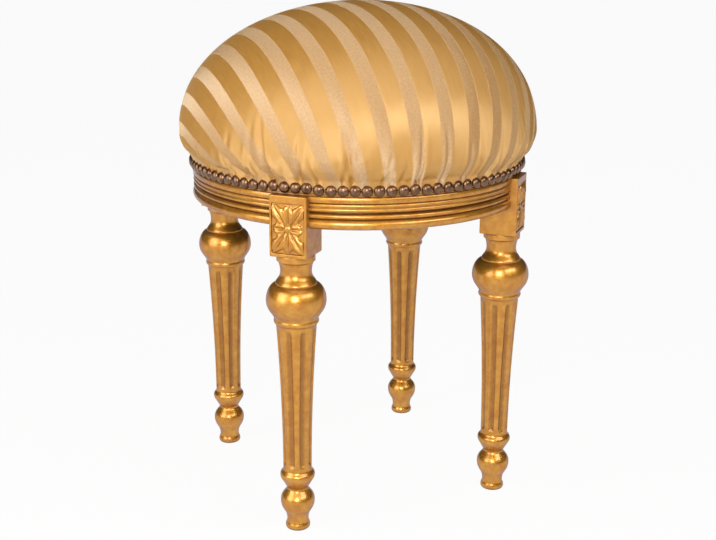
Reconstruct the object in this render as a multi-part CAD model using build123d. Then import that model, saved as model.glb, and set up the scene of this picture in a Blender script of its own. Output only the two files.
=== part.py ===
"""Round giltwood stool: a domed, nailed seat on a moulded round rail and four turned, fluted legs.

Millimetres, +Z up, the origin on the floor under the middle of the seat. The legs stand on the X and Y
axes: right +X, back +Y, left -X, front -Y. One leg, one rosette and one rail are drawn and then turned
about the Z axis to their four places.
"""
import math
import os

from build123d import *

# Plan of the frame
leg_circle_radius = 160.0
rail_outset = 14.0
rail_thickness = 26.0
nail_band_setback = 2.5
nail_band_height = 14.5

# Leg, from the floor up: the radius of each turned form and the height it takes
sole_radius = 11.0
foot_rim_radius = 12.3
foot_rim_height = 2.6
foot_waist_radius = 10.3
foot_waist_height = 8.4
bulb_radius = 17.5
bulb_lower_height = 19.0
bulb_upper_height = 13.5
pinch_radius = 11.0
ring_radius = 17.4
ring_lower_height = 11.5
ring_upper_height = 10.0
shaft_foot_radius = 13.8
shaft_middle_radius = 15.2
shaft_top_radius = 20.0
shaft_length = 153.0
bead_radius = 21.8
bead_height = 6.0
ball_seat_radius = 20.5
ball_radius = 29.3
ball_height = 35.0
collar_radius = 18.5
collar_height = 3.0
neck_radius = 15.0
neck_height = 19.0
cap_radius = 18.7
cap_height = 6.0

# Flutes of the shaft
flute_count = 8
flute_width = 6.6
flute_depth = 1.8
flute_end_gap = 6.5

# Leg block and its sunk panel
block_width = 38.0
block_depth = 38.0
block_edge_chamfer = 0.8
panel_side_border = 2.4
panel_bottom_border = 3.5
panel_top_border = 7.5
panel_sink = 2.4

# Carved rosette in the panel
rosette_clearance = 0.2
rosette_back_thickness = 0.8
rosette_height = 3.6
petal_width = 10.5
petal_hub_radius = 2.0
petal_tip_gap = 1.6
petal_vein_width = 2.2
button_radius = 4.0

# Rail moulding, from the underside up to the shoulder that the nail row stands on
rail_drop = 28.0
lower_round_height = 10.0
lower_round_bulge = 4.0
lower_torus_height = 4.6
torus_bulge = 3.2
hollow_height = 2.2
hollow_depth = 1.8
upper_torus_height = 3.6
bead_moulding_height = 3.6
groove_height = 0.8
moulding_bed = 4.5
top_band_height = 5.2
top_band_inset = 1.0

# Tenons that join rails and blocks, and the pegs that lock them
tenon_length = 15.0
tenon_thickness = 12.0
tenon_height = 20.0
tenon_clearance = 0.15
tenon_end_gap = 1.0
tenon_root = 2.0
tenon_bottom_shoulder = 6.0
peg_radius = 3.0
peg_length = 30.0

# Webbing, platform cloth and their tacks
strap_width = 50.0
strap_thickness = 1.5
strap_pitch = 62.0
weave_gap = 0.2
strap_slope_length = 8.0
platform_gap = 2.5
hessian_thickness = 0.8
strap_tack_spread = 15.0
tack_shank_radius = 0.9
tack_head_radius = 3.2
tack_head_thickness = 0.8
tack_length = 9.0

# Seat: the dome's widest place and crown, and the layers under the cover
seat_overhang = 13.0
seat_belly_height = 26.5
seat_crown_height = 125.0
dome_fullness = 0.56
belly_fullness = 0.5
cover_thickness = 1.2
cover_edge_gap = 1.0
wadding_thickness = 6.0
layer_gap = 0.3

# Dome nails round the cover's edge
nail_pitch = 11.3
nail_head_radius = 5.4
nail_head_height = 3.8
nail_shank_radius = 0.8
nail_length = 12.0
nail_row_height = 6.6
block_nail_lift = 1.6

# Cloth under the seat and its tacks
dust_cover_thickness = 0.6
dust_cover_margin = 12.0
dust_cover_notch_gap = 0.5
dust_tacks_per_rail = 6
dust_tack_end_angle = 7.0

# Heights of the leg's stations above the floor
waist_level = foot_rim_height + foot_waist_height
bulb_level = waist_level + bulb_lower_height
pinch_level = bulb_level + bulb_upper_height
ring_level = pinch_level + ring_lower_height
shaft_bottom = ring_level + ring_upper_height
shaft_top = shaft_bottom + shaft_length
ball_bottom = shaft_top + bead_height
ball_top = ball_bottom + ball_height
neck_bottom = ball_top + collar_height
neck_top = neck_bottom + neck_height
block_bottom = neck_top + cap_height

# Heights of the rail, the platform and the seat
rail_bottom = block_bottom + rail_drop
shoulder = (
    rail_bottom + lower_round_height + lower_torus_height + hollow_height + upper_torus_height
    + bead_moulding_height + top_band_height + 3 * groove_height
)
rail_top = shoulder + nail_band_height
over_strap_level = rail_top + strap_thickness + weave_gap
hessian_bottom = over_strap_level + strap_thickness + weave_gap
hessian_top = hessian_bottom + hessian_thickness
belly_level = rail_top + seat_belly_height
crown_level = belly_level + seat_crown_height

# Radii that several pieces share
rail_radius = leg_circle_radius + rail_outset
rail_inner_radius = rail_radius - rail_thickness
nail_band_radius = rail_radius - nail_band_setback
cover_foot_radius = nail_band_radius + layer_gap + cover_thickness
wadding_foot_radius = cover_foot_radius - cover_thickness - layer_gap - wadding_thickness
platform_radius = wadding_foot_radius - platform_gap
seat_radius = cover_foot_radius + seat_overhang
dust_cover_radius = rail_radius - dust_cover_margin
tack_circle_radius = (rail_inner_radius + platform_radius) / 2
block_face = leg_circle_radius + block_depth / 2
block_back = leg_circle_radius - block_depth / 2
block_side = block_width / 2
tenon_middle = rail_bottom + tenon_bottom_shoulder + tenon_height / 2

QUARTER_TURNS = {"right": 0, "back": 90, "left": 180, "front": 270}
RAIL_TURNS = {"back_right": 0, "back_left": 90, "front_left": 180, "front_right": 270}


def at(radius, height):
    """A point of a half section, in the XZ plane."""
    return Vector(radius, 0, height)


def turn(shape, angle):
    """The shape turned about the stool's axis."""
    return Rot(Z=angle) * shape


def turning(stations):
    """Curves through (radius, height, direction) stations; each leaves a station upright or flat."""
    ease = 0.55
    curves = []
    for (r0, z0, way0), (r1, z1, way1) in zip(stations, stations[1:]):
        if r0 == r1 or z0 == z1:
            curves.append(Line(at(r0, z0), at(r1, z1)))
            continue
        handle0 = at(r0, z0 + ease * (z1 - z0)) if way0 == "upright" else at(r0 + ease * (r1 - r0), z0)
        handle1 = at(r1, z1 - ease * (z1 - z0)) if way1 == "upright" else at(r1 - ease * (r1 - r0), z1)
        curves.append(Bezier(at(r0, z0), handle0, handle1, at(r1, z1)))
    return curves


def shaft_radius(height):
    """Radius of the shaft's hollow taper, a parabola through its foot, middle and top radii."""
    t = (height - shaft_bottom) / shaft_length
    bow = 2 * (shaft_foot_radius + shaft_top_radius - 2 * shaft_middle_radius)
    return shaft_foot_radius + (shaft_top_radius - shaft_foot_radius - bow) * t + bow * t * t


def flute():
    """Cutter of one flute: a tube along the shaft's taper with a ball at each end."""
    cutter_radius = (flute_width**2 / 4 + flute_depth**2) / (2 * flute_depth)
    stand_off = cutter_radius - flute_depth
    low = shaft_bottom + flute_end_gap
    high = shaft_top - flute_end_gap
    path = ThreePointArc(*[at(shaft_radius(z) + stand_off, z) for z in (low, (low + high) / 2, high)])
    tube = sweep(Plane(path @ 0, z_dir=path % 0) * Circle(cutter_radius), path)
    return tube + Pos(path @ 0) * Sphere(cutter_radius) + Pos(path @ 1) * Sphere(cutter_radius)


def turned_leg():
    """The turned and fluted part of a leg on its own axis, up to the underside of the block."""
    foot = [
        (sole_radius, 0, "flat"),
        (foot_rim_radius, foot_rim_height, "upright"),
        (foot_waist_radius, waist_level, "upright"),
        (bulb_radius, bulb_level, "upright"),
        (pinch_radius, pinch_level, "flat"),
        (ring_radius, ring_level, "upright"),
        (shaft_foot_radius, shaft_bottom, "upright"),
    ]
    shaft_levels = (shaft_bottom, (shaft_bottom + shaft_top) / 2, shaft_top)
    shaft = ThreePointArc(*[at(shaft_radius(z), z) for z in shaft_levels])
    head = [
        (shaft_top_radius, shaft_top, "flat"),
        (bead_radius, shaft_top + bead_height / 2, "upright"),
        (ball_seat_radius, ball_bottom, "flat"),
        (ball_radius, ball_bottom + ball_height / 2, "upright"),
        (collar_radius, ball_top, "flat"),
        (collar_radius, neck_bottom, "flat"),
        (neck_radius, (neck_bottom + neck_top) / 2, "upright"),
        (cap_radius, neck_top, "flat"),
        (cap_radius, block_bottom, "upright"),
    ]
    outline = [Line(at(0, 0), at(sole_radius, 0))] + turning(foot) + [shaft] + turning(head)
    outline += [Line(at(cap_radius, block_bottom), at(0, block_bottom)), Line(at(0, block_bottom), at(0, 0))]
    post = revolve(make_face(outline), Axis.Z)
    groove = flute()
    return post - [turn(groove, 360 / flute_count * k) for k in range(flute_count)]


def panel_size():
    """Width and height of the sunk panel, and the height of its middle."""
    low = block_bottom + panel_bottom_border
    high = shoulder - panel_top_border
    return block_width - 2 * panel_side_border, high - low, (low + high) / 2


def outside_nail_band():
    """All the space above the shoulder and outside the band that the cover is nailed to."""
    reach = block_face + block_depth
    ring = Cylinder(reach, nail_band_height) - Cylinder(nail_band_radius, nail_band_height)
    return Pos(0, 0, shoulder + nail_band_height / 2) * ring


def tenon(clearance=0.0, end_gap=0.0):
    """The rail's tenon in the right leg, from the back; a clearance and an end gap make it the mortise."""
    length = tenon_length + tenon_root + end_gap
    height = tenon_height + 2 * clearance
    place = Pos(leg_circle_radius, block_side + tenon_root - length / 2, tenon_middle)
    return place * Box(tenon_thickness + 2 * clearance, length, height)


def peg(side):
    """One peg, driven outwards from the block's inner face through the tenon on that side."""
    y = side * (block_side - tenon_length / 2)
    return Pos(block_back + peg_length / 2, y, tenon_middle) * Rot(Y=90) * Cylinder(peg_radius, peg_length)


def leg():
    """The right leg: the turned post under a square block, mortised for the rails on both sides."""
    block_height = rail_top - block_bottom
    block = Box(block_depth, block_width, block_height)
    block = chamfer(block.edges().filter_by(Axis.Z), block_edge_chamfer)
    block = Pos(leg_circle_radius, 0, block_bottom + block_height / 2) * block
    width, height, middle = panel_size()
    panel = Pos(block_face - panel_sink / 2, 0, middle) * Box(panel_sink, width, height)
    mortise = tenon(tenon_clearance, tenon_end_gap)
    cuts = [outside_nail_band(), panel, mortise, mirror(mortise, Plane.XZ), peg(1), peg(-1)]
    return Pos(leg_circle_radius, 0, 0) * turned_leg() + (block - cuts)


def petal(reach):
    """A leaf of the rosette along +X: a spindle with its vein cut along the ridge."""
    middle = (petal_hub_radius + reach) / 2
    ends = [(petal_hub_radius, 0, 0), (reach, 0, 0)]
    arc = ThreePointArc(ends[0], (middle, petal_width / 2, 0), ends[1])
    spindle = revolve(make_face([arc, Line(ends[1], ends[0])]), Axis.X)
    vein = Pos(middle, 0, petal_width / 2) * Rot(X=45) * Box(reach, petal_vein_width, petal_vein_width)
    return spindle - vein


def rosette():
    """The right leg's rosette: eight leaves round a button, on a thin back that fills the panel."""
    width, height, middle = panel_size()
    width -= 2 * rosette_clearance
    height -= 2 * rosette_clearance
    block = Pos(0, 0, rosette_height / 2) * Box(width, height, rosette_height)
    back = Pos(0, 0, rosette_back_thickness / 2) * Box(width, height, rosette_back_thickness)
    sunk_axis = rosette_height - petal_width / 2
    leaves = []
    for across, up in [(1, 0), (1, 1), (0, 1), (-1, 1), (-1, 0), (-1, -1), (0, -1), (1, -1)]:
        tip_across = across * (width / 2 - petal_tip_gap)
        tip_up = up * (height / 2 - petal_tip_gap)
        leaf = petal(math.hypot(tip_across, tip_up))
        leaves.append(Pos(0, 0, sunk_axis) * Rot(Z=math.degrees(math.atan2(tip_up, tip_across))) * leaf)
    button = Pos(0, 0, rosette_height - button_radius) * Sphere(button_radius)
    carving = (back + leaves + button) & block
    face = Plane(origin=(block_face - panel_sink, 0, middle), x_dir=(0, 1, 0), z_dir=(1, 0, 0))
    return face * carving


def rail_moulding():
    """The rail's outer face from its underside up to the shoulder: rounds and beads parted by grooves."""
    bed = rail_radius - moulding_bed
    level = rail_bottom
    curves = []

    def bulge(height, projection):
        nonlocal level
        middle = at(bed + projection, level + height / 2)
        curves.append(ThreePointArc(at(bed, level), middle, at(bed, level + height)))
        level += height

    def groove(height):
        nonlocal level
        curves.append(Line(at(bed, level), at(bed, level + height)))
        level += height

    bulge(lower_round_height, lower_round_bulge)
    groove(groove_height)
    bulge(lower_torus_height, torus_bulge)
    bulge(hollow_height, -hollow_depth)
    bulge(upper_torus_height, torus_bulge)
    groove(groove_height)
    bulge(bead_moulding_height, torus_bulge)
    groove(groove_height)
    band = rail_radius - top_band_inset
    curves.append(Line(at(bed, level), at(band, level)))
    curves.append(Line(at(band, level), at(band, shoulder)))
    curves.append(Line(at(band, shoulder), at(nail_band_radius, shoulder)))
    return curves


def rail():
    """The rail between the right and back legs, with a tenon at each end."""
    bed = rail_radius - moulding_bed
    outline = rail_moulding() + [
        Line(at(nail_band_radius, shoulder), at(nail_band_radius, rail_top)),
        Line(at(nail_band_radius, rail_top), at(rail_inner_radius, rail_top)),
        Line(at(rail_inner_radius, rail_top), at(rail_inner_radius, rail_bottom)),
        Line(at(rail_inner_radius, rail_bottom), at(bed, rail_bottom)),
    ]
    ring = revolve(make_face(outline), Axis.Z, 90)
    reach = 2 * (block_face + block_depth)
    slab = Pos(reach / 2, 0, rail_bottom) * Box(reach, block_width, reach)
    right_tenon = tenon()
    back_tenon = turn(mirror(right_tenon, Plane.XZ), 90)
    body = ring - [slab, turn(slab, 90)] + [right_tenon, back_tenon]
    return body - [peg(1), turn(peg(-1), 90)]


def upright_tack(head_level, way):
    """A tack on the Z axis with the inner side of its head at a level, pointing up (1) or down (-1)."""
    head = Cylinder(tack_head_radius, tack_head_thickness)
    return Pos(0, 0, head_level - way * tack_head_thickness / 2) * head + tack_shank(head_level, way)


def tack_shank(head_level, way):
    """The shank of an upright tack, also the hole that it makes."""
    return Pos(0, 0, head_level + way * tack_length / 2) * Cylinder(tack_shank_radius, tack_length)


def strap_tack_places():
    """Plan places of the tacks that hold all strap ends, on one circle over the rails and blocks."""
    places = []
    for offset in (-strap_pitch, 0, strap_pitch):
        for side in (-strap_tack_spread, 0, strap_tack_spread):
            y = offset + side
            x = math.sqrt(tack_circle_radius**2 - y**2)
            places += [Rot(Z=angle) * Pos(x, y, 0) for angle in QUARTER_TURNS.values()]
    return places


def strap(row, parity):
    """A strap along X, the row-th from -1 to 1; it passes over every second strap that crosses it."""
    run = [(-platform_radius, rail_top)]
    half_run = (strap_pitch - strap_slope_length) / 2
    for column in (-2, -1, 0, 1, 2):
        crosses_over = abs(column) < 2 and (row + column) % 2 == parity
        level = over_strap_level if crosses_over else rail_top
        run += [(column * strap_pitch - half_run, level), (column * strap_pitch + half_run, level)]
    run = run[:1] + run[2:-1] + [(platform_radius, rail_top)]
    upper = [at(x, z + strap_thickness) for x, z in reversed(run)]
    side = make_face(Polyline(*[at(x, z) for x, z in run], *upper, close=True))
    flat = extrude(side, strap_width / 2, dir=(0, 1, 0), both=True)
    trim = Pos(0, 0, rail_top) * Cylinder(platform_radius, strap_pitch)
    return (Pos(0, row * strap_pitch, 0) * flat) & trim


def straps(angle, parity):
    """The three straps of one direction, with the holes of their tacks."""
    rows = [turn(strap(row, parity), angle) for row in (-1, 0, 1)]
    return [row - strap_tack_holes() for row in rows]


def dome(inset, foot_level):
    """Curves of the seat's dome from its foot to its crown, drawn in by an inset."""
    foot_radius = cover_foot_radius - inset
    belly_radius = seat_radius - inset
    crown = crown_level - inset
    lift = belly_fullness * (belly_level - rail_top)
    rise = dome_fullness * (crown - belly_level)
    return [
        Line(at(foot_radius, foot_level), at(foot_radius, rail_top)),
        Bezier(
            at(foot_radius, rail_top),
            at((foot_radius + belly_radius) / 2, rail_top + lift / 2),
            at(belly_radius, belly_level - lift),
            at(belly_radius, belly_level),
        ),
        Bezier(
            at(belly_radius, belly_level),
            at(belly_radius, belly_level + rise),
            at(dome_fullness * belly_radius, crown),
            at(0, crown),
        ),
    ]


def dome_layer(outer_inset, inner_inset, foot_level):
    """A closed skin between two insets of the dome, open underneath."""
    outer = dome(outer_inset, foot_level)
    inner = dome(inner_inset, foot_level)
    crown = Line(outer[-1] @ 1, inner[-1] @ 1)
    foot = Line(outer[0] @ 0, inner[0] @ 0)
    return revolve(make_face(outer + inner + [crown, foot]), Axis.Z)


def seat_cover():
    """The striped cover, drawn down over the rail's top edge and nailed to the band."""
    return dome_layer(0, cover_thickness, shoulder + cover_edge_gap) - nail_holes()


def seat_wadding():
    """The soft layer under the cover, standing on the rim of the rails."""
    outer_inset = cover_thickness + layer_gap
    skin = dome_layer(outer_inset, outer_inset + wadding_thickness, shoulder)
    return skin - below(rail_top + layer_gap)


def seat_foam():
    """The domed pad, flat where it lies on the platform cloth."""
    inset = cover_thickness + wadding_thickness + 2 * layer_gap
    side = dome(inset, shoulder)
    core = [Line(side[-1] @ 1, at(0, shoulder)), Line(at(0, shoulder), side[0] @ 0)]
    return revolve(make_face(side + core), Axis.Z) - below(hessian_top)


def below(level):
    """All the space of the seat's layers that lies under a level."""
    depth = level - rail_bottom
    return Pos(0, 0, level - depth / 2) * Cylinder(2 * seat_radius, depth)


def hessian():
    """The platform cloth, a disc on the webbing."""
    return Pos(0, 0, hessian_bottom + hessian_thickness / 2) * Cylinder(platform_radius, hessian_thickness)


def nail_places():
    """Places of the nails on the cover's edge, pointing outwards; the ones over a block sit higher."""
    places = []
    quarter = 360 / len(QUARTER_TURNS)
    nails_per_quarter = round(2 * math.pi * cover_foot_radius / nail_pitch / len(QUARTER_TURNS))
    step = quarter / nails_per_quarter
    lifted_angle = math.degrees(math.asin((block_side + nail_head_radius / 2) / cover_foot_radius))
    for k in range(nails_per_quarter * len(QUARTER_TURNS)):
        angle = (k + 0.5) * step
        from_leg = abs((angle + quarter / 2) % quarter - quarter / 2)
        lift = block_nail_lift if from_leg < lifted_angle else 0
        level = shoulder + nail_row_height + lift
        places.append(Rot(Z=angle) * Pos(cover_foot_radius, 0, level))
    return places


def nail_shank():
    """A nail's shank along X, pointing at the stool's axis; also the hole that it makes."""
    return Pos(-nail_length / 2, 0, 0) * Rot(Y=90) * Cylinder(nail_shank_radius, nail_length)


def nail():
    """A dome nail along X, the underside of its head at the origin."""
    base = Line((0, 0, 0), (0, nail_head_radius, 0))
    sphere_radius = (nail_head_radius**2 + nail_head_height**2) / (2 * nail_head_height)
    tip = (nail_head_height, 0, 0)
    half = (nail_head_height - sphere_radius * (1 - math.cos(math.pi / 6)), sphere_radius / 2, 0)
    crown = ThreePointArc((0, nail_head_radius, 0), half, tip)
    return revolve(make_face([base, crown, Line(tip, (0, 0, 0))]), Axis.X) + nail_shank()


def nail_holes():
    """The holes of all the dome nails."""
    shank = nail_shank()
    return [place * shank for place in nail_places()]


def strap_tack_holes():
    """The holes of all the strap tacks."""
    shank = tack_shank(rail_top + strap_thickness, -1)
    return [place * shank for place in strap_tack_places()]


def dust_cover():
    """The black cloth under the seat, trimmed round the four blocks."""
    disc = Cylinder(dust_cover_radius, dust_cover_thickness)
    disc = Pos(0, 0, rail_bottom - dust_cover_thickness / 2) * disc
    gap = 2 * dust_cover_notch_gap
    notch = Pos(leg_circle_radius, 0, rail_bottom) * Box(block_depth + gap, block_width + gap, block_depth)
    return disc - [turn(notch, angle) for angle in QUARTER_TURNS.values()] - dust_tack_holes()


def dust_tack_places():
    """Plan places of the tacks that hold the dust cover, evenly along each rail."""
    first = math.degrees(math.asin(block_side / tack_circle_radius)) + dust_tack_end_angle
    step = (90 - 2 * first) / (dust_tacks_per_rail - 1)
    angles = [first + step * k for k in range(dust_tacks_per_rail)]
    return [
        Rot(Z=quarter + angle) * Pos(tack_circle_radius, 0, 0)
        for quarter in QUARTER_TURNS.values() for angle in angles
    ]


def dust_tack_holes():
    """The holes of all the dust cover's tacks."""
    shank = tack_shank(rail_bottom - dust_cover_thickness, 1)
    return [place * shank for place in dust_tack_places()]


def write(name, solids):
    """One STEP file for a node, a single solid or a group of separate ones."""
    shape = Compound(children=solids) if isinstance(solids, list) else solids
    export_step(shape, f"parts/{name}.step")


os.makedirs("parts", exist_ok=True)

whole_leg = leg() - nail_holes() - strap_tack_holes()
whole_rosette = rosette()
whole_rail = rail() - nail_holes() - strap_tack_holes() - dust_tack_holes()
for name, angle in QUARTER_TURNS.items():
    write(f"leg_{name}", turn(whole_leg, angle))
    write(f"rosette_{name}", turn(whole_rosette, angle))
for name, angle in RAIL_TURNS.items():
    write(f"rail_{name}", turn(whole_rail, angle))
write("tenon_pegs", [turn(peg(side), angle) for angle in QUARTER_TURNS.values() for side in (-1, 1)])

write("webbing_side_to_side", straps(0, 0))
write("webbing_front_to_back", straps(90, 1))
strap_tack = upright_tack(rail_top + strap_thickness, -1)
write("webbing_tacks", [place * strap_tack for place in strap_tack_places()])
write("hessian", hessian())
write("seat_foam", seat_foam())
write("seat_wadding", seat_wadding())
write("seat_cover", seat_cover())
dome_nail = nail()
write("decorative_nails", [place * dome_nail for place in nail_places()])

write("dust_cover", dust_cover())
dust_tack = upright_tack(rail_bottom - dust_cover_thickness, 1)
write("dust_cover_tacks", [place * dust_tack for place in dust_tack_places()])
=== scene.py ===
import math
import random

import bpy
import numpy as np
from mathutils import Matrix, Vector
from mathutils.geometry import interpolate_bezier


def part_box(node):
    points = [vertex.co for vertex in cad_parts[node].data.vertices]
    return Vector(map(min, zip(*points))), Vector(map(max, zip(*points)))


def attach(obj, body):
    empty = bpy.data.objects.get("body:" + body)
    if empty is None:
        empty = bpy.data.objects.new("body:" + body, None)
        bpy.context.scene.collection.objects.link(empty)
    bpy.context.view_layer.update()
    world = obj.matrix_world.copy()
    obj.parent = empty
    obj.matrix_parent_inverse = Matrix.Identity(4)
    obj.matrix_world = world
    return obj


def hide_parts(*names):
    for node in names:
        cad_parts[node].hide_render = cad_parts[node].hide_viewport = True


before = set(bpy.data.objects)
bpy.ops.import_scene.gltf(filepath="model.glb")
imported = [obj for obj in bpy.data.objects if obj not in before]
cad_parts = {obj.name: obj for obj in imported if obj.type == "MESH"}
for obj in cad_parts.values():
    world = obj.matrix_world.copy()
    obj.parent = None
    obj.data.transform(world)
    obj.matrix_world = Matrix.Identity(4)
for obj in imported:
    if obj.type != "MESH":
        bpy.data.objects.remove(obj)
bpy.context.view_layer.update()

# Legs
# Four beech legs, turned and fluted below and left square above for the rails' mortises. The coats of gesso
# under the gold leaf round every arris and fill the corners a little, so nothing on them is knife-sharp.
MM = 0.001
MERGE_REACH = 0.01 * MM
GESSO_GRAIN = 0.8 * MM
GESSO_COATS = 5
GESSO_FILL = 0.5
LEAF_CLOUD = 9 * MM
BRUSH_GRIT = 2.6 * MM
# How far the gilding looks for shelter when it browns hollows with glaze and painted shade.
GLAZE_AND_SHADE_REACH = 6 * MM
LEGS = ("leg_front", "leg_right", "leg_back", "leg_left")
BLOCK_FOOT = 287.0 * MM
POST_STEPS = 192
TURNING_EASE = 0.5
TURNING_POINTS = 11
FOOT_STATIONS = [
    (11.0, 0.0, "flat"), (12.4, 2.6, "upright"), (10.8, 9.5, "upright"), (17.2, 30.5, "upright"),
    (10.4, 44.0, "free"), (16.9, 55.5, "free"), (17.4, 58.5, "upright"), (14.2, 66.0, "upright"),
]
HEAD_STATIONS = [
    (19.8, 217.0, "free"), (22.0, 220.5, "upright"), (21.4, 223.5, "free"), (29.3, 241.5, "upright"),
    (20.2, 257.8, "flat"), (20.2, 259.0, "free"), (15.2, 270.0, "upright"), (18.7, 281.0, "flat"),
    (18.7, 288.0, "upright"),
]
SHAFT_FOOT = 66.0 * MM
SHAFT_HEAD = 217.0 * MM
SHAFT_RADII = (14.2 * MM, 15.7 * MM, 19.8 * MM)
SHAFT_RINGS = 96
FLUTES = 8
FLUTE_WIDTH = 6.6 * MM
FLUTE_DEPTH = 2.3 * MM
# How much the depth of a flute browns it, as glaze and as painted shade.
FLUTE_GLAZE_AND_SHADE = 0.6
FLUTE_END = 6.5 * MM
FLUTE_COATS = 2


def select_only(piece):
    """Leaves nothing but this piece selected and active."""
    bpy.ops.object.select_all(action="DESELECT")
    piece.select_set(True)
    bpy.context.view_layer.objects.active = piece


def edit_all(piece):
    """Opens the piece for editing, with all of it selected."""
    select_only(piece)
    bpy.ops.object.mode_set(mode="EDIT")
    bpy.ops.mesh.select_all(action="SELECT")


def apply_modifiers(piece):
    """Turns the piece's modifiers into its mesh."""
    select_only(piece)
    for modifier in list(piece.modifiers):
        bpy.ops.object.modifier_apply(modifier=modifier.name)


def new_piece(name, mesh):
    """Puts a mesh in the scene as a piece of its own."""
    piece = bpy.data.objects.new(name, mesh)
    bpy.context.collection.objects.link(piece)
    return piece


def join(pieces):
    """Makes the pieces one, under the name of the first."""
    select_only(pieces[0])
    for piece in pieces[1:]:
        piece.select_set(True)
    bpy.ops.object.join()
    return pieces[0]


def linear(hex_colour):
    """The linear RGBA of an sRGB hex colour."""
    channels = [int(hex_colour[i:i + 2], 16) / 255 for i in (1, 3, 5)]
    return [c / 12.92 if c <= 0.04045 else ((c + 0.055) / 1.055) ** 2.4 for c in channels] + [1.0]


def start_material(name):
    """A new material with its node tree and its shader."""
    material = bpy.data.materials.new(name)
    material.use_nodes = True
    return material, material.node_tree, material.node_tree.nodes["Principled BSDF"]


def set_inputs(tree, node, inputs):
    """Sets a node's inputs, each to a value or to the output of another node."""
    for name, value in inputs.items():
        if isinstance(value, bpy.types.NodeSocket):
            tree.links.new(value, node.inputs[name])
        else:
            node.inputs[name].default_value = value


def add_node(tree, kind, inputs=None, **settings):
    """Adds a node with its settings and inputs."""
    made = tree.nodes.new(kind)
    for name, value in settings.items():
        setattr(made, name, value)
    set_inputs(tree, made, inputs or {})
    return made


def paint(piece, material):
    """Gives the whole piece one material."""
    piece.data.materials.clear()
    piece.data.materials.append(material)


def gold_leaf():
    """Gold leaf over red bole on gesso: rubbed thin on the arrises, browned in the hollows partly by glaze
    and partly as painted shade, varnished.
    """
    material, tree, shader = start_material("varnished_gold_leaf")
    place = add_node(tree, "ShaderNodeTexCoord").outputs["Object"]
    mottle = add_node(tree, "ShaderNodeTexNoise", {
        "Vector": place, "Scale": 1 / LEAF_CLOUD, "Detail": 5.0, "Roughness": 0.62,
    }).outputs["Fac"]
    grit = add_node(tree, "ShaderNodeTexNoise", {
        "Vector": place, "Scale": 1 / BRUSH_GRIT, "Detail": 4.0, "Roughness": 0.65,
    }).outputs["Fac"]
    tone = add_node(tree, "ShaderNodeMapRange", {
        "Value": mottle, "From Min": 0.36, "From Max": 0.64,
    }).outputs["Result"]
    leaf = add_node(tree, "ShaderNodeMix", {
        0: tone, 6: linear("#C27F28"), 7: linear("#D6993A"),
    }, data_type="RGBA").outputs[2]
    arris = add_node(tree, "ShaderNodeMapRange", {
        "Value": add_node(tree, "ShaderNodeNewGeometry").outputs["Pointiness"],
        "From Min": 0.53, "From Max": 0.62,
    }).outputs["Result"]
    patchy = add_node(tree, "ShaderNodeMapRange", {
        "Value": grit, "From Min": 0.50, "From Max": 0.66,
    }).outputs["Result"]
    rubbed = add_node(tree, "ShaderNodeMath", {0: arris, 1: patchy}, operation="MULTIPLY").outputs[0]
    worn = add_node(tree, "ShaderNodeMix", {
        0: rubbed, 6: leaf, 7: linear("#8C4A1E"),
    }, data_type="RGBA").outputs[2]
    # Hollows are browned partly by a real glaze and partly as painted shade: ambient occlusion darkens the
    # gold wherever its own shape shelters it.
    open_sky = add_node(tree, "ShaderNodeAmbientOcclusion", {
        "Distance": GLAZE_AND_SHADE_REACH,
    }, samples=8).outputs["AO"]
    hollow = add_node(tree, "ShaderNodeMapRange", {
        "Value": open_sky, "From Min": 0.4, "From Max": 0.90, "To Min": 0.85, "To Max": 0.0,
    }).outputs["Result"]
    # Flutes are browned by their depth as well, partly glaze and partly painted shade.
    flute_glaze_and_shade = add_node(tree, "ShaderNodeMath", {
        0: add_node(tree, "ShaderNodeAttribute", attribute_name="glaze_and_shade_depth").outputs["Fac"], 1: FLUTE_GLAZE_AND_SHADE,
    }, operation="MULTIPLY").outputs[0]
    hollow = add_node(tree, "ShaderNodeMath", {0: hollow, 1: flute_glaze_and_shade}, operation="MAXIMUM").outputs[0]
    # The brown #6A3A10 is the glaze and the painted shade of hollows and flutes.
    glazed_and_shaded = add_node(tree, "ShaderNodeMix", {
        0: hollow, 6: worn, 7: linear("#6A3A10"),
    }, data_type="RGBA").outputs[2]
    # Glaze and painted shade also take metal away, so hollows and flutes reflect less.
    metal_left_by_glaze_and_shade = add_node(tree, "ShaderNodeMapRange", {
        "Value": hollow, "From Min": 0.0, "From Max": 0.7, "To Min": 0.82, "To Max": 0.25,
    }).outputs["Result"]
    roughness = add_node(tree, "ShaderNodeMapRange", {
        "Value": grit, "From Min": 0.3, "From Max": 0.7, "To Min": 0.30, "To Max": 0.42,
    }).outputs["Result"]
    brushing = add_node(tree, "ShaderNodeBump", {
        "Strength": 0.35, "Distance": 0.35 * MM, "Height": grit,
    }).outputs["Normal"]
    set_inputs(tree, shader, {
        "Base Color": glazed_and_shaded, "Roughness": roughness, "Normal": brushing, "Metallic": metal_left_by_glaze_and_shade,
        "Coat Weight": 0.7, "Coat Roughness": 0.16, "Coat IOR": 1.6,
        "Specular Tint": linear("#3A1E04"),
    })
    return material


def brush_gesso(piece, coats):
    """Softens a shape as coats of gesso do."""
    gesso = piece.modifiers.new("gesso", "SMOOTH")
    gesso.factor = GESSO_FILL
    gesso.iterations = coats
    apply_modifiers(piece)


def gesso_carving(piece, grain, coats):
    """Makes carved wood one skin of a fine grain, and rounds its arrises under coats of gesso."""
    select_only(piece)
    piece.data.remesh_voxel_size = grain
    bpy.ops.object.voxel_remesh()
    brush_gesso(piece, coats)
    bpy.ops.object.shade_smooth()


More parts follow.
